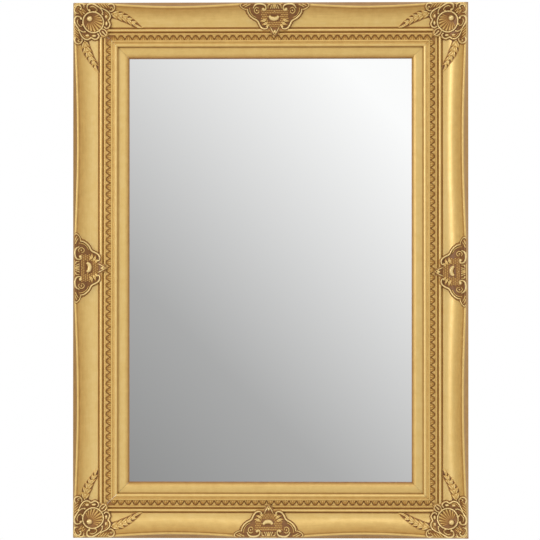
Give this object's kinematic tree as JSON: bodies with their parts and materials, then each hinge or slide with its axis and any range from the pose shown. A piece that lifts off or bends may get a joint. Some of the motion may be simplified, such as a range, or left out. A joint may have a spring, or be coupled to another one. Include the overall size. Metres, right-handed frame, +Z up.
{
  "type": "wall mirror",
  "caption": "Portrait wall mirror in a swept gilt frame with mitred hollow moulding, carved leaf band, cast scrollwork corners and centre crests, inner slip and keyhole hangers.",
  "frame": {"origin": "centre of the back face of the top frame length, on the wall plane, half way between the two keyhole hanger plates and 45 mm below the frame's top edge", "axes": "+Z up the mirror's height, +Y into the wall, so the glass faces -Y, +X to the right as seen from the front"},
  "size_m": [0.79, 0.0512, 1.071],
  "materials": {
    "gilded_moulding": "antique gold paint over wood, satin, with a brown wash in the hollows",
    "gilded_casting": "antique gold paint over moulded wood paste, satin, rubbed bright on the high edges and brown in the recesses",
    "silvered_glass": "polished silvered glass, flat, edge not bevelled",
    "brown_board": "smooth brown hardboard, matt",
    "zinc_plated_steel": "zinc plated, satin"
  },
  "bodies": {
    "root": {"top_rail": "gilded_moulding", "bottom_rail": "gilded_moulding", "left_rail": "gilded_moulding", "right_rail": "gilded_moulding", "top_slip": "gilded_moulding", "bottom_slip": "gilded_moulding", "left_slip": "gilded_moulding", "right_slip": "gilded_moulding", "corner_ornament_top_left": "gilded_casting", "corner_ornament_top_right": "gilded_casting", "corner_ornament_bottom_left": "gilded_casting", "corner_ornament_bottom_right": "gilded_casting", "crest_top": "gilded_casting", "crest_bottom": "gilded_casting", "crest_left": "gilded_casting", "crest_right": "gilded_casting", "mirror_plate": "silvered_glass", "backing_board": "brown_board", "hanger_plate_left": "zinc_plated_steel", "hanger_plate_right": "zinc_plated_steel", "hanger_screw_left_upper": "zinc_plated_steel", "hanger_screw_left_lower": "zinc_plated_steel", "hanger_screw_right_upper": "zinc_plated_steel", "hanger_screw_right_lower": "zinc_plated_steel"}
  },
  "joints": []
}
